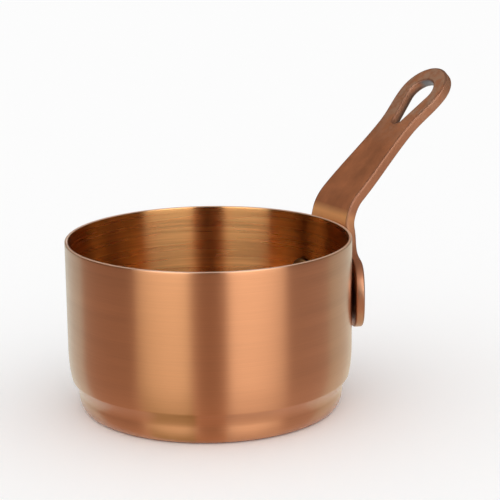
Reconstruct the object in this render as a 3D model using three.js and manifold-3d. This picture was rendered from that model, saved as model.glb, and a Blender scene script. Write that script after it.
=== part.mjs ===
// A small copper saucepan: a drawn pan with a stepped base, a strap handle whose saddle foot
// follows the wall, and two rivets that clench the foot to the pan.
// Millimetres, +Z up. The origin is the middle of the base's underside, and the handle points along +X.
import * as THREE from 'three';
import { mergeVertices } from 'three/addons/utils/BufferGeometryUtils.js';
import Module from 'manifold-3d';

const wasm = await Module();
wasm.setup();

// Pan: one drawn sheet
const panRadius = 45;          // outside of the straight wall
const panHeight = 54;          // base to the top of the lip
const sheet = 1;               // thickness of the drawn sheet
const bandStep = 3;            // how far the band at the base is set in from the wall
const creaseHeight = 6.3;      // top of the band, where the shoulder begins
const shoulderHeight = 13.2;   // crease to the start of the straight wall
const shoulderSweep = THREE.MathUtils.degToRad(45);   // how far round its ellipse the shoulder goes
const baseCorner = 2.5;        // rounding between the band and the flat base

// Handle: one stamped and bent strap
const strapThickness = 2.8;    // at the foot
const gripSwell = 0.55;        // how much thicker the grip is than the foot, on its under side
const seatGap = 0.3;           // clearance between pieces that lie against each other
const footSpring = 5.7;        // how much wider than the wall the foot is bent
const footHalfLength = 30;     // middle to end, along the bent strap
const footHeight = 22.3;
const footDrop = 20.4;         // rim to the foot's middle
const neckHalfWidth = 10.2;    // where the strap passes the rim
const neckFillet = 11;         // rounding between the foot and the neck
const bendDrop = 1.9;          // rim to the start of the bend
const bendRadius = 15;         // upper face of the bend
const gripSlope = THREE.MathUtils.degToRad(43);
const gripLength = 54.1;       // end of the bend to the tip of the loop
const gripHalfWidth = 9.8;     // where the straight grip begins
const waistHalfWidth = 8;      // narrowest part of the grip
const waistPlace = 28.2;       // along the straight grip
const loopRadius = 10.3;       // round end of the grip
const hangHoleRadius = 5.2;    // wide end of the hanging hole
const hangTipRadius = 2;       // narrow end of the hanging hole
const hangHoleSpan = 11.8;     // between the centres of those two ends
const hangHoleInset = 0.5;     // wide end's centre, behind the loop's own centre

// Rivets
const rivetAngle = THREE.MathUtils.degToRad(14.5);   // each side of the handle's middle plane
const rivetRise = 1.2;         // above the foot's middle
const rivetRadius = 2;
const rivetHeadLip = 2;        // how far a head stands out round the shank
const rivetHeadHeight = 1.6;
const rivetHoleGap = 0.3;      // clearance round the shank in the wall and in the foot

// Facets
const panFacets = 64;
const rivetFacets = 16;
const strapColumns = 14;
const arcSteps = 6;
const nearlyFlat = 1e-6;       // least share of the foot's bend, so that no radius is infinite
const cutAllowance = 8;        // how far a cutting tool reaches past the middle of what it cuts

// Places that follow from those sizes
const bandRadius = panRadius - bandStep;
const shoulderTop = creaseHeight + shoulderHeight;
const footMiddle = panHeight - footDrop;
const footTop = footMiddle + footHeight / 2;
const footInner = panRadius + seatGap + footSpring;
const footOuter = footInner + strapThickness;
const footCentre = panRadius + seatGap - footInner;
const rivetHeadRadius = rivetRadius + rivetHeadLip;
const quarterTurn = Math.PI / 2;

const copper = new THREE.MeshStandardMaterial({ color: 0xc07a4e, roughness: 0.32, metalness: 1 });
const toned = new THREE.MeshStandardMaterial({ color: 0x9a5f40, roughness: 0.45, metalness: 1 });
const rivetCopper = new THREE.MeshStandardMaterial({ color: 0xb06c46, roughness: 0.38, metalness: 1 });

// A closed geometry as a solid: shared corners are merged and faces without area are dropped.
function toSolid(geometry) {
  const bare = geometry.clone();
  bare.deleteAttribute('normal');
  bare.deleteAttribute('uv');
  const merged = mergeVertices(bare);
  const corners = merged.index.array;
  const kept = [];
  for (let i = 0; i < corners.length; i += 3) {
    const [a, b, c] = corners.slice(i, i + 3);
    if (a !== b && b !== c && c !== a) kept.push(a, b, c);
  }
  const vertProperties = new Float32Array(merged.attributes.position.array);
  const triVerts = new Uint32Array(kept);
  return new wasm.Manifold(new wasm.Mesh({ numProp: 3, vertProperties, triVerts }));
}

function toMesh(name, solid, material) {
  const { vertProperties, triVerts } = solid.getMesh();
  const geometry = new THREE.BufferGeometry();
  geometry.setAttribute('position', new THREE.BufferAttribute(vertProperties, 3));
  geometry.setIndex(new THREE.BufferAttribute(triVerts, 1));
  geometry.computeVertexNormals();
  const mesh = new THREE.Mesh(geometry, material);
  mesh.name = name;
  return mesh;
}

// Points on an ellipse arc, both ends included; a and b are the half axes.
function arc(centreX, centreY, a, b, from, to, steps = arcSteps) {
  const points = [];
  for (let i = 0; i <= steps; i += 1) {
    const angle = from + (to - from) * i / steps;
    points.push(new THREE.Vector2(centreX + a * Math.cos(angle), centreY + b * Math.sin(angle)));
  }
  return points;
}

// The same line moved to its left by a distance, each point along the mean of its two sides' normals.
function offsetLine(points, distance) {
  return points.map((point, i) => {
    const before = points[Math.max(i - 1, 0)];
    const after = points[Math.min(i + 1, points.length - 1)];
    const along = after.clone().sub(before).normalize();
    return new THREE.Vector2(point.x - along.y * distance, point.y + along.x * distance);
  });
}

// Outside of the sheet from the middle of the base to just under the lip: corner, band, shoulder, wall.
// The shoulder is a part of an ellipse, and a short slope leads from its lower end to the top of the band.
function panOutline() {
  const corner = arc(bandRadius - baseCorner, baseCorner, baseCorner, baseCorner, -quarterTurn, 0);
  const shoulder = arc(bandRadius, shoulderTop, bandStep, shoulderHeight, -shoulderSweep, 0);
  const bandTop = new THREE.Vector2(bandRadius, creaseHeight);
  const wallTop = new THREE.Vector2(panRadius, panHeight - sheet / 2);
  return [new THREE.Vector2(0, 0), ...corner, bandTop, ...shoulder, wallTop];
}

// The pan is its outline and the same outline moved in by the sheet, closed by a round lip.
function panSolid() {
  const outside = panOutline();
  const inside = offsetLine(outside, sheet).reverse();
  const lip = arc(panRadius - sheet / 2, panHeight - sheet / 2, sheet / 2, sheet / 2, 0, Math.PI);
  const profile = [...outside.slice(0, -1), ...lip, ...inside.slice(1)];
  return toSolid(new THREE.LatheGeometry(profile, panFacets).rotateX(quarterTurn));
}

// The strap's middle line in the XZ plane. The place is a height up to the bend, and then a length
// along the strap: round the bend and up the straight grip. The normal faces away from the pan.
const strapMiddle = panRadius + seatGap + strapThickness / 2;
const bendMiddle = bendRadius - strapThickness / 2;
const bendTurn = quarterTurn - gripSlope;
const bendStart = panHeight - bendDrop;
const gripStart = bendStart + bendMiddle * bendTurn;

function spineAt(place) {
  const turn = THREE.MathUtils.clamp((place - bendStart) / bendMiddle, 0, bendTurn);
  const straight = Math.min(place, bendStart) - bendStart + Math.max(place - gripStart, 0);
  return {
    x: strapMiddle + bendMiddle * (1 - Math.cos(turn)) + straight * Math.sin(turn),
    z: bendStart + bendMiddle * Math.sin(turn) + straight * Math.cos(turn),
    normal: new THREE.Vector3(Math.cos(turn), 0, -Math.sin(turn)),
  };
}

// A point of the strap: across is measured along the bent sheet, depth from the foot's middle surface.
// The foot is bent round the pan, and by the start of the bend the strap has run out flat and has grown
// to the grip's thickness. It grows on its under side only, so the upper face stays where it is.
function strapPoint(place, across, depth) {
  const grown = THREE.MathUtils.smoothstep(place, footTop, bendStart);
  const curvature = Math.max(1 - grown, nearlyFlat) / (footInner + strapThickness / 2);
  const turn = across * curvature;
  const fromUpper = depth + strapThickness / 2;
  const level = depth + gripSwell * grown * fromUpper / strapThickness;
  const { x, z, normal } = spineAt(place);
  const out = (Math.cos(turn) - 1) / curvature + level * Math.cos(turn);
  const side = Math.sin(turn) / curvature + level * Math.sin(turn);
  return new THREE.Vector3(x + normal.x * out, side, z + normal.z * out);
}

// Half widths of the stamped strap, as [half width, place], from the foot's lower edge to the loop's tip.
function strapOutline() {
  const endRadius = footHeight / 2;
  const endAcross = footHalfLength - endRadius;
  const filletAcross = neckHalfWidth + neckFillet;
  const reach = endRadius + neckFillet;
  const filletPlace = footMiddle + Math.sqrt(reach ** 2 - (filletAcross - endAcross) ** 2);
  const meeting = Math.atan2(filletPlace - footMiddle, filletAcross - endAcross);
  const end = arc(endAcross, footMiddle, endRadius, endRadius, -quarterTurn, meeting, 2 * arcSteps);
  const fillet = arc(filletAcross, filletPlace, neckFillet, neckFillet, meeting - Math.PI, -Math.PI);
  const loopPlace = gripStart + gripLength - loopRadius;
  const loop = arc(0, loopPlace, loopRadius, loopRadius, 0, quarterTurn);
  return [
    ...end,
    ...fillet.slice(1),
    ...ease(neckHalfWidth, filletPlace, gripHalfWidth, gripStart),
    ...ease(gripHalfWidth, gripStart, waistHalfWidth, gripStart + waistPlace),
    ...ease(waistHalfWidth, gripStart + waistPlace, loopRadius, loopPlace),
    ...loop.slice(1),
  ];
}

// A half width that changes smoothly from one place to another, without its first point.
function ease(fromWidth, fromPlace, toWidth, toPlace) {
  const points = [];
  for (let i = 1; i <= arcSteps; i += 1) {
    const share = i / arcSteps;
    const width = fromWidth + (toWidth - fromWidth) * (1 - Math.cos(Math.PI * share)) / 2;
    points.push(new THREE.Vector2(width, fromPlace + (toPlace - fromPlace) * share));
  }
  return points;
}

// The bent strap: two sheets of points, one on each face, joined by a wall round their edge.
function strapGeometry() {
  const rows = strapOutline();
  const stride = strapColumns + 1;
  const sheetSize = rows.length * stride;
  const positions = [];
  for (const depth of [-strapThickness / 2, strapThickness / 2]) {
    for (const row of rows) {
      for (let column = 0; column <= strapColumns; column += 1) {
        const across = row.x * (2 * column / strapColumns - 1);
        positions.push(...strapPoint(row.y, across, depth).toArray());
      }
    }
  }
  const faces = [];
  const quad = (a, b, c, d) => faces.push(a, b, c, a, c, d);
  for (let row = 0; row < rows.length - 1; row += 1) {
    for (let column = 0; column < strapColumns; column += 1) {
      const corner = row * stride + column;
      quad(corner, corner + stride, corner + stride + 1, corner + 1);
      const far = corner + sheetSize;
      quad(far, far + 1, far + stride + 1, far + stride);
    }
    const left = row * stride;
    const right = left + strapColumns;
    quad(left, left + sheetSize, left + stride + sheetSize, left + stride);
    quad(right, right + stride, right + stride + sheetSize, right + sheetSize);
  }
  for (let column = 0; column < strapColumns; column += 1) {
    quad(column, column + 1, column + 1 + sheetSize, column + sheetSize);
  }
  const geometry = new THREE.BufferGeometry();
  geometry.setAttribute('position', new THREE.Float32BufferAttribute(positions, 3));
  geometry.setIndex(faces);
  return geometry;
}

// The hanging hole's teardrop, two circles and their tangents, cut square through the loop.
function hangHoleSolid() {
  const lean = Math.asin((hangHoleRadius - hangTipRadius) / hangHoleSpan);
  const side = quarterTurn + lean;
  const outline = [
    ...arc(0, 0, hangHoleRadius, hangHoleRadius, -side, side, 2 * arcSteps),
    ...arc(-hangHoleSpan, 0, hangTipRadius, hangTipRadius, side, 2 * Math.PI - side),
  ];
  const depth = 2 * cutAllowance;
  const prism = new THREE.ExtrudeGeometry(new THREE.Shape(outline), { depth, bevelEnabled: false });
  const { x, z, normal } = spineAt(gripStart + gripLength - loopRadius - hangHoleInset);
  const along = new THREE.Vector3(-normal.z, 0, normal.x);
  const across = new THREE.Vector3().crossVectors(normal, along);
  const start = new THREE.Vector3(x, 0, z).addScaledVector(normal, -cutAllowance);
  prism.applyMatrix4(new THREE.Matrix4().makeBasis(along, across, normal).setPosition(start));
  return toSolid(prism);
}

// A piece made along +Z from the pan's axis, laid along a rivet's own axis.
function alongRivet(geometry, angle) {
  return geometry.rotateY(quarterTurn).rotateZ(angle).translate(0, 0, footMiddle + rivetRise);
}

function rivetHoleSolid(angle) {
  const radius = rivetRadius + rivetHoleGap;
  const length = 2 * cutAllowance;
  const drill = new THREE.CylinderGeometry(radius, radius, length, rivetFacets).rotateX(quarterTurn);
  return toSolid(alongRivet(drill.translate(0, 0, panRadius), angle));
}

// A rivet: a domed head inside the pan, the shank through wall and foot, and a domed head outside.
function rivetSolid(angle) {
  const insideSeat = Math.sqrt((panRadius - sheet) ** 2 - rivetHeadRadius ** 2) - seatGap;
  const footFace = footCentre * Math.cos(angle)
    + Math.sqrt(footOuter ** 2 - (footCentre * Math.sin(angle)) ** 2);
  const outsideSeat = footFace + seatGap;
  const inner = arc(0, insideSeat, rivetHeadRadius, rivetHeadHeight, -quarterTurn, 0);
  const outer = arc(0, outsideSeat, rivetHeadRadius, rivetHeadHeight, 0, quarterTurn);
  const profile = [
    ...inner,
    new THREE.Vector2(rivetRadius, insideSeat),
    new THREE.Vector2(rivetRadius, outsideSeat),
    ...outer,
  ];
  profile[0].x = 0;
  profile[profile.length - 1].x = 0;
  return toSolid(alongRivet(new THREE.LatheGeometry(profile, rivetFacets).rotateX(quarterTurn), angle));
}

let panBody = panSolid();
let handle = toSolid(strapGeometry()).subtract(hangHoleSolid());
const saucepan = new THREE.Group();
for (const [name, angle] of [['rivet_left', rivetAngle], ['rivet_right', -rivetAngle]]) {
  const hole = rivetHoleSolid(angle);
  panBody = panBody.subtract(hole);
  handle = handle.subtract(hole);
  saucepan.add(toMesh(name, rivetSolid(angle), rivetCopper));
}
saucepan.add(toMesh('pan_body', panBody, copper));
saucepan.add(toMesh('handle', handle, toned));

export default saucepan;
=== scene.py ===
# %% [markdown]
# # A small copper saucepan
# The pan is one drawn sheet of copper, brushed on the lathe. A strap of thicker copper is stamped, bent
# over the rim and riveted to the wall as the handle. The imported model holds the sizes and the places, and
# this script makes the surfaces that are seen: it works each one out as arrays of points, gives it a finish
# and sets it where the model says.

import bpy
import numpy as np
from mathutils import Matrix, Vector
from mathutils.geometry import delaunay_2d_cdt


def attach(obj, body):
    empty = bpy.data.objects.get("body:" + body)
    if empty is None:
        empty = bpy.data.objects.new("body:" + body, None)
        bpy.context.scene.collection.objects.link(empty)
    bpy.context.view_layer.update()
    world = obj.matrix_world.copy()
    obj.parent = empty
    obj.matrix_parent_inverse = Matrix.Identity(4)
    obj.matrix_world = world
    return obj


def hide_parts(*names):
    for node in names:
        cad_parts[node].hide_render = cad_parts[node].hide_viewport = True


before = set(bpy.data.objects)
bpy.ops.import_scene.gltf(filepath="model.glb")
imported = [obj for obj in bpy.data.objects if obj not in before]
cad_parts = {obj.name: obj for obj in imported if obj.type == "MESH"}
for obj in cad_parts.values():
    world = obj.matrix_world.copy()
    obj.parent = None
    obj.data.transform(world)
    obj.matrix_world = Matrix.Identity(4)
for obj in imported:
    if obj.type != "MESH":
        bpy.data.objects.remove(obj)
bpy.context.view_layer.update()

print("nodes:", sorted(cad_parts))

# %% [markdown]
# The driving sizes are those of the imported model, in millimetres turned into metres. Added to them are a few
# soft edges and a taller corner at the base, which it leaves out. Everything else is worked out from them.
# The origin is the middle of the base's underside, and the handle points along +X.

# %% Sizes of the pan, the strap and the rivets
MM = 0.001
PAN_RADIUS = 45 * MM
PAN_HEIGHT = 54 * MM
SHEET = 1 * MM
BAND_STEP = 3 * MM
BAND_RADIUS = PAN_RADIUS - BAND_STEP
CREASE_HEIGHT = 6.3 * MM
CREASE_SOFTNESS = 0.9 * MM
SHOULDER_HEIGHT = 13.2 * MM
SHOULDER_SWEEP = np.radians(45)
BASE_CORNER = 2.5 * MM
BASE_CORNER_HEIGHT = 5 * MM

STRAP = 2.8 * MM
GRIP_SWELL = 0.55 * MM
SEAT_GAP = 0.3 * MM
FOOT_SPRING = 5.7 * MM
FOOT_HALF_LENGTH = 30 * MM
FOOT_HEIGHT = 22.3 * MM
FOOT_DROP = 20.4 * MM
FOOT_MIDDLE = PAN_HEIGHT - FOOT_DROP
NECK_HALF_WIDTH = 10.2 * MM
NECK_FILLET = 11 * MM
BEND_DROP = 1.9 * MM
BEND_START = PAN_HEIGHT - BEND_DROP
BEND_RADIUS = 15 * MM
GRIP_SLOPE = np.radians(43)
GRIP_LENGTH = 54.1 * MM
GRIP_HALF_WIDTH = 9.8 * MM
WAIST_HALF_WIDTH = 8 * MM
WAIST_PLACE = 28.2 * MM
LOOP_RADIUS = 10.3 * MM
HOLE_RADIUS = 5.2 * MM
HOLE_TIP_RADIUS = 2 * MM
HOLE_SPAN = 11.8 * MM
HOLE_INSET = 0.5 * MM
EDGE_ROUND = 0.6 * MM
EYE_ROUND = 0.75 * MM

RIVET_ANGLE = np.radians(14.5)
RIVET_RISE = 1.2 * MM
RIVET_HEIGHT = FOOT_MIDDLE + RIVET_RISE
RIVET_RADIUS = 2 * MM
RIVET_HEAD_LIP = 2 * MM
RIVET_HEAD_RADIUS = RIVET_RADIUS + RIVET_HEAD_LIP
RIVET_HEAD_HEIGHT = 1.6 * MM
RIVET_HEAD_EDGE = 0.3 * MM

QUARTER = np.pi / 2
print("pan", PAN_RADIUS, PAN_HEIGHT, "strap", STRAP)

# %% [markdown]
# Every piece is made from points in arrays. A line, an arc and a soft corner are enough to draw all the
# outlines. A mesh then needs only the order in which neighbouring points join into faces, which is the same
# for every grid, so one helper serves them all.

# %% Lines, arcs and meshes from arrays
def line(start, end, count):
    """Points at equal steps from start to end, both included."""
    share = np.linspace(0, 1, count)[:, None]
    return np.array(start) * (1 - share) + np.array(end) * share


def arc(centre, half_axes, start, end, count):
    """Points on an ellipse: the centre plus the half axes times cosine and sine of equal angle steps."""
    angle = np.linspace(start, end, count)
    return np.array(centre) + np.array(half_axes) * np.stack([np.cos(angle), np.sin(angle)], axis=-1)


def soft_corner(start, corner, end, count):
    """A quadratic curve: it slides from the line up to the corner over to the line that leaves it."""
    share = np.linspace(0, 1, count)[:, None]
    return line(start, corner, count) * (1 - share) + line(corner, end, count) * share


def lengths_along(points):
    """The length along a line at each of its points: the steps between neighbours, added up."""
    return np.concatenate([[0], np.cumsum(np.hypot(*np.diff(points, axis=0).T))])


def grid_quads(index):
    """Quads between neighbours in a grid of point numbers, in the order row, next column, next row."""
    corners = [index[:-1, :-1], index[:-1, 1:], index[1:, 1:], index[1:, :-1]]
    return np.stack(corners, axis=-1).reshape(-1, 4)


def close_grid(index):
    """A grid of point numbers with its first column again at the end, so that it closes."""
    return np.concatenate([index, index[:, :1]], axis=1)


def new_piece(name, points, faces, corner_uv=None):
    """A smooth mesh object at the origin, with a UV map if each corner of each face is given a place."""
    mesh = bpy.data.meshes.new(name)
    mesh.from_pydata(points.tolist(), [], faces)
    if corner_uv is not None:
        layer = mesh.uv_layers.new(name="grain")
        layer.data.foreach_set("uv", corner_uv.astype(np.float32).ravel())
    mesh.polygons.foreach_set("use_smooth", np.ones(len(mesh.polygons), dtype=bool))
    mesh.update()
    piece = bpy.data.objects.new(name, mesh)
    bpy.context.scene.collection.objects.link(piece)
    print(name, "points", len(points), "faces", len(faces))
    return piece


def add_attribute(piece, name, values):
    """Store one vector, or one number, for each point of the piece, for its finish to read."""
    kind, field = ("FLOAT", "value") if values.ndim == 1 else ("FLOAT_VECTOR", "vector")
    attribute = piece.data.attributes.new(name, kind, "POINT")
    attribute.data.foreach_set(field, values.astype(np.float32).ravel())


def revolve(profile, columns):
    """Turn a profile of (radius, height) round the height axis. Its two ends lie on the axis.

    A point is (radius cos angle, radius sin angle, height). The rows between the ends form a closed grid,
    and each end is one point joined to its ring by triangles. The result is the points, the faces, a UV
    place for each face corner, which is (share of the turn, length along the profile), and that length for
    each point.
    """
    rows = len(profile) - 2
    angle = np.arange(columns) * 2 * np.pi / columns
    radius, height = profile[1:-1, :1], profile[1:-1, 1:]
    ring = [radius * np.cos(angle), radius * np.sin(angle), height + 0 * angle]
    points = np.stack(ring, axis=-1).reshape(-1, 3)
    ends = np.array([[0, 0, profile[0, 1]], [0, 0, profile[-1, 1]]])
    points = np.concatenate([points, ends])

    index = close_grid(np.arange(rows * columns).reshape(rows, columns))
    first = np.stack([np.full(columns, rows * columns), index[0, 1:], index[0, :-1]], axis=-1)
    last = np.stack([np.full(columns, rows * columns + 1), index[-1, :-1], index[-1, 1:]], axis=-1)
    faces = grid_quads(index).tolist() + first.tolist() + last.tolist()

    length = lengths_along(profile)
    around = np.arange(columns + 1) / columns
    place = np.stack(np.broadcast_arrays(around[None, :], length[1:-1, None]), axis=-1)
    place_index = np.arange(rows * (columns + 1)).reshape(rows, columns + 1)
    quad_uv = place.reshape(-1, 2)[grid_quads(place_index)]
    middle = (around[:-1] + around[1:]) / 2
    first_tip = np.stack([middle, 0 * middle], axis=-1)
    last_tip = np.stack([middle, 0 * middle + length[-1]], axis=-1)
    first_uv = np.stack([first_tip, place[0, 1:], place[0, :-1]], axis=1)
    last_uv = np.stack([last_tip, place[-1, :-1], place[-1, 1:]], axis=1)
    corner_uv = np.concatenate([uv.reshape(-1, 2) for uv in (quad_uv, first_uv, last_uv)])
    return points, faces, corner_uv, np.append(np.repeat(length[1:-1], columns), [0, length[-1]])


print("helpers ready")

# %% [markdown]
# The pan is drawn from a disc and finished on a lathe, so it is a turned shape. Its outline runs from the
# middle of the base round a corner to a narrow band, out through a hollow to a long shoulder, and up the
# straight wall. The inside is the same line moved in by the sheet's thickness, and a round lip joins them.

# %% Outline of the pan
def left_of(along):
    """Unit directions a quarter turn to the left of the given ones."""
    unit = along / np.linalg.norm(along, axis=1, keepdims=True)
    return np.stack([-unit[:, 1], unit[:, 0]], axis=-1)


def pan_outline():
    """Outside of the sheet as (radius, height): base, corner, band, hollow, shoulder and wall."""
    corner_axes = (BASE_CORNER, BASE_CORNER_HEIGHT)
    shoulder_axes = (BAND_STEP, SHOULDER_HEIGHT)
    shoulder_centre = (BAND_RADIUS, CREASE_HEIGHT + SHOULDER_HEIGHT)
    crease = (BAND_RADIUS, CREASE_HEIGHT + CREASE_SOFTNESS)
    base = line((0, 0), (BAND_RADIUS - BASE_CORNER, 0), count=16)
    corner = arc((BAND_RADIUS - BASE_CORNER, BASE_CORNER_HEIGHT), corner_axes, -QUARTER, 0, count=16)
    band = line(corner[-1], (BAND_RADIUS, CREASE_HEIGHT - CREASE_SOFTNESS), count=4)
    shoulder = arc(shoulder_centre, shoulder_axes, -SHOULDER_SWEEP, 0, count=26)
    hollow = soft_corner(band[-1], crease, shoulder[0], count=14)
    wall = line(shoulder[-1], (PAN_RADIUS, PAN_HEIGHT - SHEET / 2), count=22)
    return np.concatenate([base, corner[1:], band[1:], hollow[1:], shoulder[1:], wall[1:]])


def pan_profile(outside):
    """The outside, a half round lip, and the inside back down to the axis.

    Each point of the inside lies a sheet's thickness to the left of the outside's direction there.
    """
    half = SHEET / 2
    lip = arc((PAN_RADIUS - half, PAN_HEIGHT - half), (half, half), 0, np.pi, count=12)
    inside = outside + SHEET * left_of(np.gradient(outside, axis=0))
    inside[0, 0] = 0
    return np.concatenate([outside, lip[1:-1], inside[::-1]])


outside = pan_outline()
profile = pan_profile(outside)
LIP_PLACE = lengths_along(outside)[-1] + SHEET / 2 * QUARTER
print("pan profile", len(profile), "points, highest", profile[:, 1].max(), "lip at", LIP_PLACE)

# %% [markdown]
# A lathe leaves a sheet very nearly round. A wobble of two hundredths of a millimetre makes the edges of
# the reflections run a little unevenly, so it is put into the shape. Brush lines run round the pan, so each
# point also stores where it lies along them: two numbers for the direction round the axis, which join up
# without a seam, and the length along the profile.

# %% The pan
PAN_COLUMNS = 240
WOBBLE = 0.02 * MM
WOBBLE_WAVES = ((3, 40, 0), (7, -90, 1), (13, 0, 2))


def wobble(angle, height):
    """How far the sheet lies inside its true circle: the waves' mean, moved to run from 0 to the wobble.

    Each wave is the sine of a count times the angle, plus a drift times the height, plus a start.
    """
    waves = sum(np.sin(count * angle + drift * height + start) for count, drift, start in WOBBLE_WAVES)
    return WOBBLE * (waves + len(WOBBLE_WAVES)) / (2 * len(WOBBLE_WAVES))


def make_pan():
    """The turned profile, drawn in by the wobble, which fades out towards the middle of the base."""
    points, faces, corner_uv, length = revolve(profile, PAN_COLUMNS)
    radius = np.hypot(points[:, 0], points[:, 1])
    angle = np.arctan2(points[:, 1], points[:, 0])
    share = 1 - wobble(angle, points[:, 2]) / np.maximum(radius, PAN_RADIUS / 2)
    points[:, :2] *= share[:, None]
    piece = new_piece("pan", points, faces, corner_uv)
    brush = np.stack([PAN_RADIUS * np.cos(angle), PAN_RADIUS * np.sin(angle), length], axis=-1)
    add_attribute(piece, "brush", brush)
    return piece


pan = make_pan()

# %% [markdown]
# The handle begins as a flat blank stamped from strip: a wide foot with round ends, a neck, a grip with a
# slight waist and a round loop with a teardrop hole. The blank is drawn in two numbers, how far across the
# strap and the place along it. Each outline is sampled at equal steps, so that the faces stay even.

# %% Outlines of the blank
OUTLINE_STEP = 0.55 * MM
HOLE_STEP = OUTLINE_STEP / 2
BEND_MIDDLE = BEND_RADIUS - STRAP / 2
BEND_TURN = QUARTER - GRIP_SLOPE
GRIP_START = BEND_START + BEND_MIDDLE * BEND_TURN
LOOP_PLACE = GRIP_START + GRIP_LENGTH - LOOP_RADIUS


def ease(start, end, count):
    """A half width that goes from start to end along a half wave, so it leaves and arrives straight."""
    share = np.linspace(0, 1, count)
    width = start[0] + (end[0] - start[0]) * (1 - np.cos(np.pi * share)) / 2
    return np.stack([width, start[1] + (end[1] - start[1]) * share], axis=-1)


def even_steps(points, step):
    """A closed line sampled again at equal steps along its length."""
    closed = np.concatenate([points, points[:1]])
    length = lengths_along(closed)
    places = np.linspace(0, length[-1], int(length[-1] / step), endpoint=False)
    return np.stack([np.interp(places, length, closed[:, axis]) for axis in (0, 1)], axis=-1)


def blank_outline():
    """The blank's edge, anticlockwise from the foot's lower edge, as (across, place).

    The neck's fillet touches the foot's round end, so their centres lie the sum of their radii apart.
    """
    end_radius = FOOT_HEIGHT / 2
    end_across = FOOT_HALF_LENGTH - end_radius
    fillet_across = NECK_HALF_WIDTH + NECK_FILLET
    lean = fillet_across - end_across
    rise = np.sqrt((end_radius + NECK_FILLET) ** 2 - lean ** 2)
    fillet_centre = (fillet_across, FOOT_MIDDLE + rise)
    meeting = np.arctan2(rise, lean)
    waist_place = GRIP_START + WAIST_PLACE
    end = arc((end_across, FOOT_MIDDLE), (end_radius, end_radius), -QUARTER, meeting, count=60)
    fillet = arc(fillet_centre, (NECK_FILLET, NECK_FILLET), meeting - np.pi, -np.pi, count=30)
    neck = ease((NECK_HALF_WIDTH, fillet_centre[1]), (GRIP_HALF_WIDTH, GRIP_START), count=20)
    grip = ease((GRIP_HALF_WIDTH, GRIP_START), (WAIST_HALF_WIDTH, waist_place), count=40)
    flare = ease((WAIST_HALF_WIDTH, waist_place), (LOOP_RADIUS, LOOP_PLACE), count=30)
    loop = arc((0, LOOP_PLACE), (LOOP_RADIUS, LOOP_RADIUS), 0, QUARTER, count=30)
    right = np.concatenate([end, fillet[1:], neck[1:], grip[1:], flare[1:], loop[1:]])
    left = right[-2::-1] * np.array([-1, 1])
    return even_steps(np.concatenate([right, left]), OUTLINE_STEP)


def hole_outline():
    """The hanging hole's edge, clockwise: a wide round end and a narrow one, joined by their tangents.

    The tangents lean by the angle whose sine is the difference of the radii over the centres' distance.
    """
    lean = QUARTER + np.arcsin((HOLE_RADIUS - HOLE_TIP_RADIUS) / HOLE_SPAN)
    wide_centre = (0, LOOP_PLACE - HOLE_INSET)
    tip_centre = (0, wide_centre[1] - HOLE_SPAN)
    tip_axes = (HOLE_TIP_RADIUS, HOLE_TIP_RADIUS)
    wide = arc(wide_centre, (HOLE_RADIUS, HOLE_RADIUS), QUARTER + lean, QUARTER - lean, count=60)
    tip = arc(tip_centre, tip_axes, QUARTER - lean, lean - 3 * QUARTER, count=20)
    return even_steps(np.concatenate([wide, tip]), HOLE_STEP)


outline = blank_outline()
hole = hole_outline()
print("blank outline", len(outline), "points, hole", len(hole), "points")

# %% [markdown]
# Bending the blank is one formula. The foot is rolled a little wider than the pan's wall and lies against
# it, the strap runs out flat by the rim, turns through the bend and goes straight up the grip. A point is
# found by its place along the strap, how far across it lies and how deep in the thickness.

# %% Bending the blank
FOOT_TOP = FOOT_MIDDLE + FOOT_HEIGHT / 2
STRAP_MIDDLE = PAN_RADIUS + SEAT_GAP + STRAP / 2
FOOT_ROLL = STRAP_MIDDLE + FOOT_SPRING
NEARLY_FLAT = 1e-6


def bend(across, place, depth):
    """Where a point of the blank goes: along the middle line, round the roll, and out by its depth.

    The middle line is upright to the bend, then a circle through the bend's turn, then straight. From the
    foot's top to the start of the bend the roll fades, and the outer face moves out by the grip's swell.
    """
    fade = np.clip((place - FOOT_TOP) / (BEND_START - FOOT_TOP), 0, 1)
    grown = fade * fade * (3 - 2 * fade)
    level = depth + GRIP_SWELL * grown * (depth / STRAP + 0.5)
    turn = np.clip((place - BEND_START) / BEND_MIDDLE, 0, BEND_TURN)
    straight = np.minimum(place, BEND_START) - BEND_START + np.maximum(place - GRIP_START, 0)
    x = STRAP_MIDDLE + BEND_MIDDLE * (1 - np.cos(turn)) + straight * np.sin(turn)
    z = BEND_START + BEND_MIDDLE * np.sin(turn) + straight * np.cos(turn)
    curvature = np.maximum(1 - grown, NEARLY_FLAT) / FOOT_ROLL
    roll = across * curvature
    out = (np.cos(roll) - 1) / curvature + level * np.cos(roll)
    side = np.sin(roll) / curvature + level * np.sin(roll)
    return np.stack([x + np.cos(turn) * out, side, z - np.sin(turn) * out], axis=-1)


print("tip of the loop", bend(np.zeros(1), np.array([LOOP_PLACE + LOOP_RADIUS]), np.zeros(1)))

# %% [markdown]
# The two flat faces of the blank have a hole in them, so they are no plain grid. They could be cut with a
# boolean, but a triangulation between the outlines is cleaner: points on a lattice fill the inside, and the
# outlines are kept as edges. Triangles that fall outside the blank or in the hole are dropped.

# %% Faces of the blank
FACE_STEP = 0.9 * MM
LATTICE_CLEARANCE = EDGE_ROUND + 0.6 * FACE_STEP
WHOLE_HULL = 0
SAME_POINT = 1e-6


def into_metal(points):
    """For each point of a closed line, the unit direction to its left, across its neighbours' direction."""
    return left_of(np.roll(points, -1, axis=0) - np.roll(points, 1, axis=0))


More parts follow.
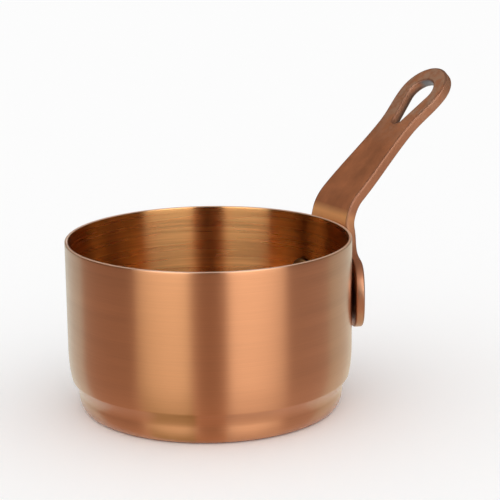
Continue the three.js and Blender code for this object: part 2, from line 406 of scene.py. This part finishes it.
def is_inside(points, polygon):
    """Even and odd rule: a ray from an inside point crosses the closed line an odd number of times."""
    ax, ay = polygon.T
    bx, by = np.roll(polygon, -1, axis=0).T
    px, py = points[:, :1], points[:, 1:]
    spans = (ay > py) != (by > py)
    crossing = ax + (py - ay) * (bx - ax) / np.where(by == ay, 1, by - ay)
    return (spans & (px < crossing)).sum(axis=1) % 2 == 1


def edge_distance(points):
    """Distance from each point to the nearest point of the blank's outline or of the hole."""
    edge = np.concatenate([outline, hole])
    return np.sqrt(((points[:, None] - edge[None]) ** 2).sum(axis=2)).min(axis=1)


def face_of_blank():
    """Points and triangles of one flat face, with the inset outline first and the inset hole next.

    Triangles are turned so that twice their area, the cross product of two sides, comes out positive.
    """
    outer = outline + EDGE_ROUND * into_metal(outline)
    inner = hole + EYE_ROUND * into_metal(hole)
    half = np.arange(0, FOOT_HALF_LENGTH, FACE_STEP)
    across = np.concatenate([-half[:0:-1], half])
    place = np.arange(outline[:, 1].min(), outline[:, 1].max(), FACE_STEP)
    lattice = np.stack(np.meshgrid(across, place), axis=-1).reshape(-1, 2)
    clear = edge_distance(lattice) > LATTICE_CLEARANCE
    lattice = lattice[clear & is_inside(lattice, outline) & ~is_inside(lattice, hole)]
    points = np.concatenate([outer, inner, lattice])
    rings = [np.arange(len(outer)), len(outer) + np.arange(len(inner))]
    edges = np.concatenate([np.stack([ring, np.roll(ring, -1)], axis=-1) for ring in rings])
    in_mm = [Vector(point) for point in points / MM]
    _, _, made, *_ = delaunay_2d_cdt(in_mm, edges.tolist(), [], WHOLE_HULL, SAME_POINT, False)
    triangles = np.array(made)
    middle = points[triangles].mean(axis=1)
    triangles = triangles[is_inside(middle, outer) & ~is_inside(middle, inner)]
    a, b, c = (points[triangles[:, corner]] for corner in range(3))
    area = (b - a)[:, 0] * (c - a)[:, 1] - (b - a)[:, 1] * (c - a)[:, 0]
    triangles[area < 0] = triangles[area < 0][:, ::-1]
    return points, triangles


face_points, face_triangles = face_of_blank()
print("face of the blank", len(face_points), "points", len(face_triangles), "triangles")

# %% [markdown]
# The handle is two copies of that face, one at each side of the thickness, joined round the outline and
# round the hole by a strip that carries the worn edge: a quarter circle, a short flat and another quarter
# circle. Its points keep their place in the blank and their distance to the edge, so that the finish can
# follow the strap.

# %% The handle
EDGE_STEPS = 8


def edge_strip(closed_line, radius):
    """Points of a worn edge in the blank, row by row from the inner face's rounding to the outer face's.

    In a quarter circle a point lies in from the line by radius (1 - sin angle), and below its face by
    radius (1 - cos angle).
    """
    angle = np.linspace(0, QUARTER, EDGE_STEPS)[1:]
    lean = radius * (1 - np.sin(angle))
    depth = STRAP / 2 - radius + radius * np.cos(angle)
    lean = np.concatenate([lean, lean[::-1]])
    depth = np.concatenate([-depth, depth[::-1]])
    flat = closed_line + lean[:, None, None] * into_metal(closed_line)
    depth = np.broadcast_to(depth[:, None, None], flat.shape[:2] + (1,))
    return np.concatenate([flat, depth], axis=-1), np.repeat(lean, len(closed_line))


def strip_quads(start, rows, inner_ring, outer_ring):
    """Quads of a closed strip whose first and last rows are rings of the two faces."""
    middle = start + np.arange(rows * len(inner_ring)).reshape(rows, -1)
    return grid_quads(close_grid(np.concatenate([inner_ring[None], middle, outer_ring[None]])))


def make_handle():
    """Two faces and two worn edges, numbered in that order, with every point sent through the bend.

    The wall of the hole, or eye, is marked by a number from 1 on its flat to 0 where it meets a face.
    """
    count = len(face_points)
    level = np.full((count, 1), STRAP / 2)
    inner_face = np.concatenate([face_points, -level], axis=1)
    outer_face = np.concatenate([face_points, level], axis=1)
    rim, rim_lean = edge_strip(outline, EDGE_ROUND)
    eye, eye_lean = edge_strip(hole, EYE_ROUND)
    blank = np.concatenate([inner_face, outer_face, rim.reshape(-1, 3), eye.reshape(-1, 3)])
    rim_ring = np.arange(len(outline))
    eye_ring = len(outline) + np.arange(len(hole))
    rim_quads = strip_quads(2 * count, len(rim), rim_ring, rim_ring + count)
    eye_start = 2 * count + len(rim_lean)
    eye_quads = strip_quads(eye_start, len(eye), eye_ring, eye_ring + count)
    faces = face_triangles[:, ::-1].tolist() + (face_triangles + count).tolist()
    faces += rim_quads.tolist() + eye_quads.tolist()
    piece = new_piece("strap_handle", bend(*blank.T), faces)
    away = edge_distance(face_points)
    add_attribute(piece, "blank", blank)
    add_attribute(piece, "from_edge", np.concatenate([away, away, rim_lean, eye_lean]))
    add_attribute(piece, "eye_wall", np.concatenate([np.zeros(eye_start), 1 - eye_lean / EYE_ROUND]))
    return piece


handle = make_handle()

# %% [markdown]
# A rivet is a turned piece too: a low dome inside the pan, a shank through wall and foot, and a low dome
# outside. It is drawn upright and then laid along its own line out of the pan, with both heads just off
# what they clench.

# %% The rivets
RIVET_COLUMNS = 72


def rivet_profile(inside_seat, outside_seat):
    """Half outline as (radius, distance from the pan's axis): dome, soft edge, shank, soft edge, dome."""
    dome = (RIVET_HEAD_RADIUS, RIVET_HEAD_HEIGHT - RIVET_HEAD_EDGE)
    round_edge = (RIVET_HEAD_EDGE, RIVET_HEAD_EDGE)
    shoulder = RIVET_HEAD_RADIUS - RIVET_HEAD_EDGE
    inner_level = inside_seat - RIVET_HEAD_EDGE
    outer_level = outside_seat + RIVET_HEAD_EDGE
    inner = arc((0, inner_level), dome, -QUARTER, 0, count=16)
    inner_edge = arc((shoulder, inner_level), round_edge, 0, QUARTER, count=6)
    shank = line((RIVET_RADIUS, inside_seat), (RIVET_RADIUS, outside_seat), count=6)
    outer_edge = arc((shoulder, outer_level), round_edge, -QUARTER, 0, count=6)
    outer = arc((0, outer_level), dome, 0, QUARTER, count=16)
    half = np.concatenate([inner, inner_edge[1:], shank, outer_edge, outer[1:]])
    half[[0, -1], 0] = 0
    return half


def make_rivet(name, angle):
    """The turned rivet laid along a line that leaves the pan's axis at an angle, at the rivets' height.

    The inner head's rim just clears the round wall. The outer head sits where the line leaves the foot's
    outer circle, whose centre lies behind the pan's axis by the foot's spring.
    """
    inside_seat = np.sqrt((PAN_RADIUS - SHEET) ** 2 - RIVET_HEAD_RADIUS ** 2) - SEAT_GAP
    foot_outer = FOOT_ROLL + STRAP / 2
    aside = FOOT_SPRING * np.sin(angle)
    foot_face = np.sqrt(foot_outer ** 2 - aside ** 2) - FOOT_SPRING * np.cos(angle)
    points, faces, corner_uv, _ = revolve(rivet_profile(inside_seat, foot_face + SEAT_GAP), RIVET_COLUMNS)
    out = np.array([np.cos(angle), np.sin(angle), 0])
    side = np.array([-np.sin(angle), np.cos(angle), 0])
    up = np.array([0, 0, 1])
    laid = points @ np.stack([side, up, out]) + RIVET_HEIGHT * up
    return new_piece(name, laid, faces, corner_uv)


rivet_left = make_rivet("rivet_on_the_left", RIVET_ANGLE)
rivet_right = make_rivet("rivet_on_the_right", -RIVET_ANGLE)

# %% [markdown]
# A finish is one shader. What is the same all over a piece is set on the shader itself. What varies comes
# from noise, or from what each point stores. A picture wrapped round the pan would do too, but noise needs
# no painting and stays fine however close one looks. A helper adds a node, sets its values and links what
# comes from another node, and the rest are short names for the nodes that are used most.

# %% Helpers for the finishes
NOISE_ROUGHNESS = 0.6
NOISE_RANGE = (0.25, 0.75)
SHADE_RANGE = (0.3, 0.7)


def add_node(material, kind, inputs, **settings):
    """A node with its settings. An input that is another node's output is linked, any other is set."""
    made = material.node_tree.nodes.new(kind)
    for name, value in settings.items():
        setattr(made, name, value)
    for name, value in inputs.items():
        if isinstance(value, bpy.types.NodeSocket):
            material.node_tree.links.new(value, made.inputs[name])
        else:
            made.inputs[name].default_value = value
    return made


def new_finish(name, constants):
    """A material whose constant values are set on the shader's own sockets."""
    material = bpy.data.materials.new(name)
    material.use_nodes = True
    shader = material.node_tree.nodes["Principled BSDF"]
    for socket, value in constants.items():
        shader.inputs[socket].default_value = value
    return material, shader


def feed(material, shader, socket, output):
    """Link a node's output to one of the shader's sockets."""
    material.node_tree.links.new(output, shader.inputs[socket])


def stored(material, name, output):
    """What each point of the piece stores under a name: Vector for a vector, Fac for a number."""
    return add_node(material, "ShaderNodeAttribute", {}, attribute_name=name).outputs[output]


def stretched_noise(material, vector, stretch, detail):
    """Noise whose grains have the lengths given for the three directions of the vector, in metres."""
    scale = tuple(1 / length for length in stretch)
    mapped = add_node(material, "ShaderNodeMapping", {"Vector": vector, "Scale": scale}).outputs["Vector"]
    values = {"Vector": mapped, "Scale": 1.0, "Detail": detail, "Roughness": NOISE_ROUGHNESS}
    return add_node(material, "ShaderNodeTexNoise", values).outputs["Fac"]


def between(material, value, start, end, low=0.0, high=1.0):
    """A number that goes from low to high as the value goes from start to end, and stops there."""
    values = {"Value": value, "From Min": start, "From Max": end, "To Min": low, "To Max": high}
    return add_node(material, "ShaderNodeMapRange", values).outputs["Result"]


def spread(material, noise, low, high):
    """A number that goes from low to high over the range in which most of the noise lies."""
    return between(material, noise, *NOISE_RANGE, low, high)


def combine(material, first, second, operation="MULTIPLY"):
    """Two numbers multiplied, or joined by another operation."""
    return add_node(material, "ShaderNodeMath", {0: first, 1: second}, operation=operation).outputs[0]


def mix_numbers(material, factor, first, second):
    """The first number where the factor is 0, the second where it is 1."""
    return add_node(material, "ShaderNodeMix", {0: factor, 2: first, 3: second}).outputs[0]


def mix_colours(material, factor, first, second):
    """The first colour where the factor is 0, the second where it is 1."""
    made = add_node(material, "ShaderNodeMix", {0: factor, 6: first, 7: second}, data_type="RGBA")
    return made.outputs[2]


def tint(material, share, colour, towards):
    """A colour moved towards a plain one by a share: not at all at 0, all the way at 1."""
    return mix_colours(material, share, colour, (*towards, 1))


def colour_ramp(material, factor, stops):
    """A colour for each value of the factor, from stops of (place, colour)."""
    made = add_node(material, "ShaderNodeValToRGB", {"Fac": factor})
    elements = made.color_ramp.elements
    for end in (0, -1):
        place, colour = stops[end]
        elements[end].position = place
        elements[end].color = (*colour, 1)
    for place, colour in stops[1:-1]:
        elements.new(place).color = (*colour, 1)
    return made.outputs["Color"]


def varied(material, noise, colour, dark, light):
    """A colour times dark where the noise is low, going over to the colour times light where it is high."""
    shades = [tuple(channel * amount for channel in colour) for amount in (dark, light)]
    return colour_ramp(material, noise, list(zip(SHADE_RANGE, shades)))


def add_relief(material, shader, height, strength, depth):
    """A relief in the shading alone: light falls as if a height of 1 stood out by the depth."""
    values = {"Height": height, "Strength": strength, "Distance": depth}
    feed(material, shader, "Normal", add_node(material, "ShaderNodeBump", values).outputs["Normal"])


print("finish helpers ready")

# %% [markdown]
# The pan was brushed while it turned, so fine lines run round it. Across the lines the metal scatters light
# widely and along them hardly at all, which draws every reflection out into an upright band. The shader's
# anisotropy does that, with its direction from the UV map. The lines themselves are noise drawn out along
# the brush attribute. A clear lacquer over the outside is the shader's coat.
#
# The inside was only scoured, so it is a cleaner, more golden copper with coarser streaks and next to no
# lacquer. The lip between them is painted pale and mirrors little: a painted highlight that stands in for
# the bright line its top mirrors. How far a point lies along the profile tells them apart.

# %% Finish of the pan
OUTSIDE_COPPER = (0.66, 0.315, 0.153)
OUTSIDE_SHADES = (0.97, 1.03)
OUTSIDE_ROUGHNESS = (0.355, 0.405)
OUTSIDE_LACQUER = 1.0
OUTSIDE_RELIEF = 0.01
INSIDE_COPPER = (0.67, 0.342, 0.130)
INSIDE_SHADES = (0.82, 1.12)
INSIDE_ROUGHNESS = (0.25, 0.30)
INSIDE_LACQUER = 0.1
INSIDE_RELIEF = 0.12
# The lip's pale colour and low metallic are a painted highlight for the bright line along the rim.
PALE_LIP_HIGHLIGHT = (0.68, 0.42, 0.28)
LIP_ROUGHNESS = 0.3
LIP_METALLIC = 0.2
LIP_HALF_WIDTH = 0.5 * MM
PAN_METALLIC = 1.0
PAN_CONSTANTS = {
    "Anisotropic": 1.0,
    "Anisotropic Rotation": 0.25,
    "Coat Roughness": 0.22,
    "Coat IOR": 1.5,
}
LINE_GRAIN = (25 * MM, 25 * MM, 0.3 * MM)
STREAK_GRAIN = (45 * MM, 45 * MM, 0.9 * MM)
STREAK_DEPTH = 0.3 * MM
BAND_GRAIN = (60 * MM, 60 * MM, 2.5 * MM)


def pan_finish():
    """Brushed outside, scoured inside and a lip of painted highlight, mixed by the length along the profile.
    """
    material, shader = new_finish("brushed_copper", PAN_CONSTANTS)
    brush = stored(material, "brush", "Vector")
    along = add_node(material, "ShaderNodeSeparateXYZ", {"Vector": brush}).outputs["Z"]
    inside = between(material, along, LIP_PLACE - SHEET / 2, LIP_PLACE + SHEET / 2)
    near_lip = {0: along, 1: LIP_PLACE, 2: LIP_HALF_WIDTH}
    on_lip = add_node(material, "ShaderNodeMath", near_lip, operation="COMPARE").outputs[0]
    lines = stretched_noise(material, brush, LINE_GRAIN, detail=3.0)
    streaks = stretched_noise(material, brush, STREAK_GRAIN, detail=3.0)
    bands = stretched_noise(material, brush, BAND_GRAIN, detail=2.0)

    outer = varied(material, lines, OUTSIDE_COPPER, *OUTSIDE_SHADES)
    inner = varied(material, streaks, INSIDE_COPPER, *INSIDE_SHADES)
    colour = mix_colours(material, inside, outer, inner)
    # The pale lip colour is a painted highlight.
    feed(material, shader, "Base Color", tint(material, on_lip, colour, PALE_LIP_HIGHLIGHT))
    feed(material, shader, "Metallic", mix_numbers(material, on_lip, PAN_METALLIC, LIP_METALLIC))
    brushed = spread(material, bands, *OUTSIDE_ROUGHNESS)
    scoured = spread(material, bands, *INSIDE_ROUGHNESS)
    roughness = mix_numbers(material, inside, brushed, scoured)
    feed(material, shader, "Roughness", mix_numbers(material, on_lip, roughness, LIP_ROUGHNESS))
    feed(material, shader, "Coat Weight", mix_numbers(material, inside, OUTSIDE_LACQUER, INSIDE_LACQUER))
    relief = mix_numbers(material, inside, OUTSIDE_RELIEF, INSIDE_RELIEF)
    add_relief(material, shader, streaks, relief, STREAK_DEPTH)
    tangent = add_node(material, "ShaderNodeTangent", {}, direction_type="UV_MAP", uv_map="grain")
    feed(material, shader, "Tangent", tangent.outputs["Tangent"])
    return material


pan.data.materials.append(pan_finish())
print("pan finish", pan.data.materials[0].name)

# %% [markdown]
# The strap has been toned by heat and handling. It is mottled, with a fine grain along its length. The foot
# is cleaner metal, the bend by the rim carries a painted golden highlight, and dull patches gather towards
# the loop. The sides are browner, with a dark line of painted shade along their rounding that mutes its
# highlight, and the wall of the hole has painted shade towards its under side and is grey at its far end.
# The place in the blank that each point stores says where each of these begins and ends: a pair of places
# runs from where a colour is absent to where it has its full share.

# %% Colours of the strap
TONED = (0.45, 0.157, 0.061)
TONED_SHADES = (0.82, 1.16)
FOOT_COPPER = (0.70, 0.38, 0.22)
# A painted golden highlight at the bend by the rim, with the places where it begins and ends.
BEND_HIGHLIGHT = (0.95, 0.46, 0.17)
BEND_HIGHLIGHT_START = (PAN_HEIGHT - 4 * MM, PAN_HEIGHT + 2 * MM)
BEND_HIGHLIGHT_END = (PAN_HEIGHT + 4 * MM, PAN_HEIGHT + 1.5 * MM)
DULL = (0.46, 0.245, 0.145)
DULL_START = (LOOP_PLACE - 24 * MM, LOOP_PLACE - 8 * MM)
DULL_NOISE = (0.42, 0.58)
DULL_SHARES = (0.2, 1.0)
SIDE_BROWN = (0.37, 0.165, 0.088)
SIDE_REACH = (0.9 * MM, 0.2 * MM)
SIDE_UNEVEN = 0.5 * MM
SIDE_SHARE = 0.7
# The darker line along the rounded edge is painted shade that mutes the highlight the rounding catches.
ROUNDING_SHADE = (0.20, 0.085, 0.045)
EDGE_START = (0.0, 0.1 * MM)
EDGE_END = (0.9 * MM, 0.5 * MM)
EDGE_SHARE = 0.65
# Painted shade darkens the wall of the hole towards its under side; at its far end the wall is grey.
EYE_SHADE = (0.12, 0.062, 0.038)
EYE_END_GREY = (0.20, 0.20, 0.205)
EYE_END = (LOOP_PLACE + 2.5 * MM, LOOP_PLACE + 4 * MM)
EYE_BELOW = (-0.5 * MM, 0.6 * MM)
EYE_FLAT = (0.55, 0.95)


def strap_colour(material, place, mottle, patches, on_foot):
    """Toned copper with the foot's colour, a painted highlight at the bend and dull patches, by the place."""
    colour = varied(material, mottle, TONED, *TONED_SHADES)
    colour = tint(material, on_foot, colour, FOOT_COPPER)
    # The golden colour at the bend is a painted highlight.
    up_bend = between(material, place, *BEND_HIGHLIGHT_START)
    past_bend = between(material, place, *BEND_HIGHLIGHT_END)
    colour = tint(material, combine(material, up_bend, past_bend), colour, BEND_HIGHLIGHT)
    near_loop = between(material, place, *DULL_START)
    spots = between(material, patches, *DULL_NOISE, *DULL_SHARES)
    return tint(material, combine(material, near_loop, spots), colour, DULL)


def edge_colour(material, colour, edge, grain):
    """Brown sides ending unevenly on the faces, a line of painted shade between, by the distance inwards."""
    reach = combine(material, edge, combine(material, grain, SIDE_UNEVEN), "ADD")
    on_side = between(material, reach, *SIDE_REACH, 0.0, SIDE_SHARE)
    colour = tint(material, on_side, colour, SIDE_BROWN)
    off_side = between(material, edge, *EDGE_START)
    # Painted shade along the rounding.
    off_face = between(material, edge, *EDGE_END, 0.0, EDGE_SHARE)
    return tint(material, combine(material, off_side, off_face), colour, ROUNDING_SHADE)


def eye_colour(material, colour, place, depth, eye_wall):
    """The wall of the hole: painted shade towards the under side, and grey all through at the far end."""
    # The dark colour of the hole's wall is painted shade.
    at_end = between(material, place, *EYE_END)
    wall_colour = mix_colours(material, at_end, (*EYE_SHADE, 1), (*EYE_END_GREY, 1))
    covered = combine(material, between(material, depth, *EYE_BELOW), at_end, "MAXIMUM")
    on_wall = combine(material, between(material, eye_wall, *EYE_FLAT), covered)
    return mix_colours(material, on_wall, colour, wall_colour)


print("strap colours", TONED, BEND_HIGHLIGHT, DULL)

# %% [markdown]
# The colours come together in one shader. The tone on the strap dulls the metal, so it counts as about half
# a metal, and the cleaner foot as nearly all metal. The border between them is moved by the mottling,
# because a straight line across the strap would look painted.

# %% Finish of the handle
HANDLE_CONSTANTS = {"Specular IOR Level": 0.3, "Coat Weight": 0.2, "Coat Roughness": 0.35}
HANDLE_METALLIC = 0.45
HANDLE_ROUGHNESS = (0.40, 0.50)
FOOT_METALLIC = 0.95
FOOT_ROUGHNESS = 0.32
FOOT_CLEAN = (FOOT_MIDDLE + 14 * MM, FOOT_MIDDLE + 7 * MM)
FOOT_UNEVEN = 10 * MM
MOTTLE_GRAIN = (5 * MM, 7 * MM, 5 * MM)
PATCH_GRAIN = (2.5 * MM, 3 * MM, 2.5 * MM)
STRAP_GRAIN = (0.25 * MM, 9 * MM, 0.25 * MM)
STRAP_RELIEF = 0.15
STRAP_DEPTH = 0.02 * MM


def handle_finish():
    """Toned copper with a cleaner foot, whose border is the place along the strap moved by the mottling."""
    material, shader = new_finish("toned_copper", HANDLE_CONSTANTS)
    blank = stored(material, "blank", "Vector")
    edge = stored(material, "from_edge", "Fac")
    eye_wall = stored(material, "eye_wall", "Fac")
    parts = add_node(material, "ShaderNodeSeparateXYZ", {"Vector": blank}).outputs
    place, depth = parts["Y"], parts["Z"]
    mottle = stretched_noise(material, blank, MOTTLE_GRAIN, detail=5.0)
    patches = stretched_noise(material, blank, PATCH_GRAIN, detail=4.0)
    grain = stretched_noise(material, blank, STRAP_GRAIN, detail=3.0)

    uneven = combine(material, place, combine(material, mottle, FOOT_UNEVEN), "ADD")
    on_foot = between(material, uneven, *FOOT_CLEAN)
    colour = strap_colour(material, place, mottle, patches, on_foot)
    colour = edge_colour(material, colour, edge, grain)
    colour = eye_colour(material, colour, place, depth, eye_wall)
    feed(material, shader, "Base Color", colour)
    feed(material, shader, "Metallic", mix_numbers(material, on_foot, HANDLE_METALLIC, FOOT_METALLIC))
    handled = spread(material, mottle, *HANDLE_ROUGHNESS)
    feed(material, shader, "Roughness", mix_numbers(material, on_foot, handled, FOOT_ROUGHNESS))
    add_relief(material, shader, grain, STRAP_RELIEF, STRAP_DEPTH)
    return material


handle.data.materials.append(handle_finish())
print("handle finish", handle.data.materials[0].name)

# %% [markdown]
# The rivets are plain copper, much darker than the pan: their dark colour is painted shade, so that the
# inner heads match the dark reflections on the inside wall round them. They are rougher, with fine pits.
# Noise on the piece's own coordinates is enough, because a rivet has no grain.

# %% Finish of the rivets
# The rivets' dark colour is painted shade.
RIVET_SHADED_COPPER = (0.17, 0.082, 0.03)
RIVET_SHADES = (0.85, 1.12)
RIVET_ROUGHNESS = (0.45, 0.55)
RIVET_CONSTANTS = {"Metallic": 1.0, "Coat Weight": 0.02, "Coat Roughness": 0.4, "Coat IOR": 1.5}
PIT_GRAIN = (1.5 * MM, 1.5 * MM, 1.5 * MM)
PIT_RELIEF = 0.2
PIT_DEPTH = 0.05 * MM


def rivet_finish():
    """Copper darkened with painted shade, whose colour, roughness and relief all follow the same noise."""
    material, shader = new_finish("rivet_copper", RIVET_CONSTANTS)
    place = add_node(material, "ShaderNodeTexCoord", {}).outputs["Object"]
    pits = stretched_noise(material, place, PIT_GRAIN, detail=4.0)
    # The dark base colour is painted shade.
    feed(material, shader, "Base Color", varied(material, pits, RIVET_SHADED_COPPER, *RIVET_SHADES))
    feed(material, shader, "Roughness", spread(material, pits, *RIVET_ROUGHNESS))
    add_relief(material, shader, pits, PIT_RELIEF, PIT_DEPTH)
    return material


finish = rivet_finish()
for rivet in (rivet_left, rivet_right):
    rivet.data.materials.append(finish)
print("rivet finish", finish.name)

# %% [markdown]
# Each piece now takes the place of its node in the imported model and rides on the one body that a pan
# without moving parts has.

# %% Set the pieces in the frame
for piece, node, slot in [
    (pan, "pan_body", "pan_copper"),
    (handle, "handle", "handle_copper"),
    (rivet_left, "rivet_left", "rivet_copper"),
    (rivet_right, "rivet_right", "rivet_copper"),
]:
    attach(piece, "root")
    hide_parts(node)
    print(piece.name, "stands for", node)

# %% [markdown]
# The camera looks down on the pan a little from its front, through a long lens. Its place is given by how
# far it stands from the pan's axis and how high, and its aim by three turns in radians. The lens is the
# sensor's width times the focal length in pixels, over the picture's width in pixels.

# %% Camera
PICTURE_PIXELS = 500
FOCAL_PIXELS = 1706.2
SENSOR = 36.0
CAMERA_SIDE = np.radians(-120)
CAMERA_AWAY = 520.7 * MM
CAMERA_HEIGHT = 177.6 * MM
CAMERA_YAW = 0.0249
CAMERA_PITCH = 0.2414
CAMERA_ROLL = -0.0104


def direction(heading, rise):
    """The unit direction with a heading round the upright axis and a rise above level."""
    level = [np.cos(heading) * np.cos(rise), np.sin(heading) * np.cos(rise)]
    return np.array([*level, np.sin(rise)])


def make_camera(place):
    """The camera's right, up and back directions from its turns, as the columns of its matrix."""
    heading = CAMERA_SIDE + np.pi - CAMERA_YAW
    ahead = direction(heading, -CAMERA_PITCH)
    level = direction(heading - QUARTER, 0)
    upright = np.cross(level, ahead)
    right = level * np.cos(CAMERA_ROLL) + upright * np.sin(CAMERA_ROLL)
    up = upright * np.cos(CAMERA_ROLL) - level * np.sin(CAMERA_ROLL)
    data = bpy.data.cameras.new("camera")
    data.sensor_width = SENSOR
    data.lens = SENSOR * FOCAL_PIXELS / PICTURE_PIXELS
    camera = bpy.data.objects.new("camera", data)
    camera.matrix_world = Matrix(np.column_stack([right, up, -ahead]).tolist()).to_4x4()
    camera.location = place
    bpy.context.scene.collection.objects.link(camera)
    bpy.context.scene.camera = camera
    return camera


camera_place = CAMERA_AWAY * direction(CAMERA_SIDE, 0) + np.array([0, 0, CAMERA_HEIGHT])
print("lens", round(make_camera(camera_place).data.lens, 2), "mm")

# %% [markdown]
# A metal pan shows nothing but what stands round it, so its studio matters as much as its finish. Two soft
# boxes stand left and right of the camera, with darker cards between and beside them, as a photographer
# would set flags. A lamp would do for a painted pan, but only cards give a brushed wall its upright bands.
# Their sides follow the lines of sight that the wall mirrors, so each edge shows as one upright line on the
# pan.
#
# The camera looks down, so the wall mirrors the floor more than the room. Each card therefore starts under
# the edge of the base, lies on the floor and only then turns up.

# %% Shape of a card
CARD_REACH = 360 * MM
CARD_TOP = 900 * MM
CARD_CORNER = 60 * MM
CARD_START = -4 * MM
CARD_COLUMNS = 40


def card_points(start, end):
    """A card as a grid: each column leaves the wall along a mirrored line of sight and then climbs.

    The line runs through the wall point of its angle, from a little behind it. Its direction is the sight
    line less twice its part along the wall's normal. The card runs along the floor, turns up in a quarter
    circle and stands upright.
    """
    angle = CAMERA_SIDE + np.radians(np.linspace(start, end, CARD_COLUMNS))
    normal = np.stack([np.cos(angle), np.sin(angle)], axis=-1)
    wall = PAN_RADIUS * normal
    sight = wall - camera_place[:2]
    sight /= np.linalg.norm(sight, axis=1, keepdims=True)
    mirrored = sight - 2 * (sight * normal).sum(axis=1, keepdims=True) * normal
    turn_start = CARD_REACH - CARD_CORNER
    lying = line((CARD_START, 0), (turn_start, 0), count=12)
    turning = arc((turn_start, CARD_CORNER), (CARD_CORNER, CARD_CORNER), -QUARTER, 0, count=8)
    standing = line((CARD_REACH, CARD_CORNER), (CARD_REACH, CARD_TOP), count=10)
    path = np.concatenate([lying, turning[1:], standing[1:]])
    flat = wall[None] + path[:, :1, None] * mirrored[None]
    height = np.broadcast_to(path[:, 1:, None], flat.shape[:2] + (1,))
    return np.concatenate([flat, height], axis=-1)


print("a card reaches", CARD_REACH, "out and", CARD_TOP, "up")

# %% [markdown]
# A card glows by itself, which is simpler than lighting it. It has a colour of its own where it lies on the
# floor, and goes over to dim on a flag or to bright on a soft box as it climbs. Only mirror-like surfaces
# see it, so the floor stays plain. Neighbours share an edge, given in degrees round the pan from the side
# of the camera.

# %% Cards round the pan
CARD_EDGES = (-88, -58, -28.5, -7.5, 7, 30, 53, 88)
LEVELS = (8 * MM, 60 * MM, 200 * MM, 450 * MM)
DIM = (0.01, 0.008, 0.006)
FLAG = [DIM, DIM, DIM]
SOFTBOX = [(1.7, 1.7, 1.7), (3.0, 3.0, 3.0), (4.6, 4.6, 4.6)]
CARDS = {
    "left_side": ((0.81, 0.81, 0.71), FLAG),
    "left_flag": ((0.64, 0.42, 0.31), FLAG),
    "left_softbox": ((0.34, 0.26, 0.10), SOFTBOX),
    "middle_flag": ((0.61, 0.37, 0.26), FLAG),
    "right_softbox": ((0.60, 0.44, 0.36), SOFTBOX),
    "right_flag": ((0.73, 0.52, 0.42), FLAG),
    "right_side": ((0.84, 0.78, 0.63), FLAG),
}


def glow(name, colours):
    """A plain glow whose colour goes through the given colours at the levels, from the floor up."""
    material = bpy.data.materials.new(name)
    material.use_nodes = True
    material.node_tree.nodes.clear()
    place = add_node(material, "ShaderNodeTexCoord", {}).outputs["Object"]
    height = add_node(material, "ShaderNodeSeparateXYZ", {"Vector": place}).outputs["Z"]
    share = between(material, height, 0.0, CARD_TOP)
    stops = [(level / CARD_TOP, colour) for level, colour in zip(LEVELS, colours)]
    emission = add_node(material, "ShaderNodeEmission", {"Color": colour_ramp(material, share, stops)})
    add_node(material, "ShaderNodeOutputMaterial", {"Surface": emission.outputs["Emission"]})
    return material


def make_card(name, grid, colours):
    """A sheet that only mirror-like surfaces see: it throws no shadow and no light on the floor."""
    index = np.arange(grid.shape[0] * grid.shape[1]).reshape(grid.shape[:2])
    card = new_piece(name, grid.reshape(-1, 3), grid_quads(index).tolist())
    card.data.materials.append(glow(name, colours))
    card.visible_camera = False
    card.visible_diffuse = False
    card.visible_shadow = False
    card.visible_transmission = False


for (name, (lying_colour, upright)), start, end in zip(CARDS.items(), CARD_EDGES, CARD_EDGES[1:]):
    make_card(name, card_points(start, end), [lying_colour, *upright])

# %% [markdown]
# A dim ceiling closes the set above the cards. Without it the handle and the inside of the pan would mirror
# a blank white room.

# %% Ceiling
CEILING_HALF = 1700 * MM
CEILING_GAP = 10 * MM


def level_square(half, height):
    """A level square round the axis, as a grid of two by two points."""
    side = np.array([-half, half])
    x, y = np.meshgrid(side, side)
    return np.stack([x, y, np.full_like(x, height)], axis=-1)


make_card("ceiling", level_square(CEILING_HALF, CARD_TOP + CEILING_GAP), [DIM] * len(LEVELS))

# %% [markdown]
# The floor is a wide sheet of white paper under a plain white sky. It takes the pan's soft shadow, and it
# lies a hair below the base, so that the two don't share a plane.

# %% Floor and world
FLOOR_HALF = 6000 * MM
FLOOR_DROP = 0.1 * MM
PAPER_CONSTANTS = {"Base Color": (0.975, 0.975, 0.975, 1), "Roughness": 0.9, "Specular IOR Level": 0.0}
SKY_COLOUR = (1.0, 1.0, 1.0, 1)


def make_floor():
    """One square of paper, with its corners taken in the order that turns its face up."""
    grid = level_square(FLOOR_HALF, -FLOOR_DROP)
    floor = new_piece("floor", grid.reshape(-1, 3), [[0, 1, 3, 2]])
    paper, _ = new_finish("floor_paper", PAPER_CONSTANTS)
    floor.data.materials.append(paper)


def make_world():
    """A sky of one colour all round, shown as it is by the Standard view."""
    world = bpy.data.worlds.new("studio")
    world.use_nodes = True
    world.node_tree.nodes["Background"].inputs["Color"].default_value = SKY_COLOUR
    world.cycles.sampling_method = "NONE"
    bpy.context.scene.world = world
    bpy.context.scene.view_settings.view_transform = "Standard"
    print("world", world.name)


make_floor()
make_world()
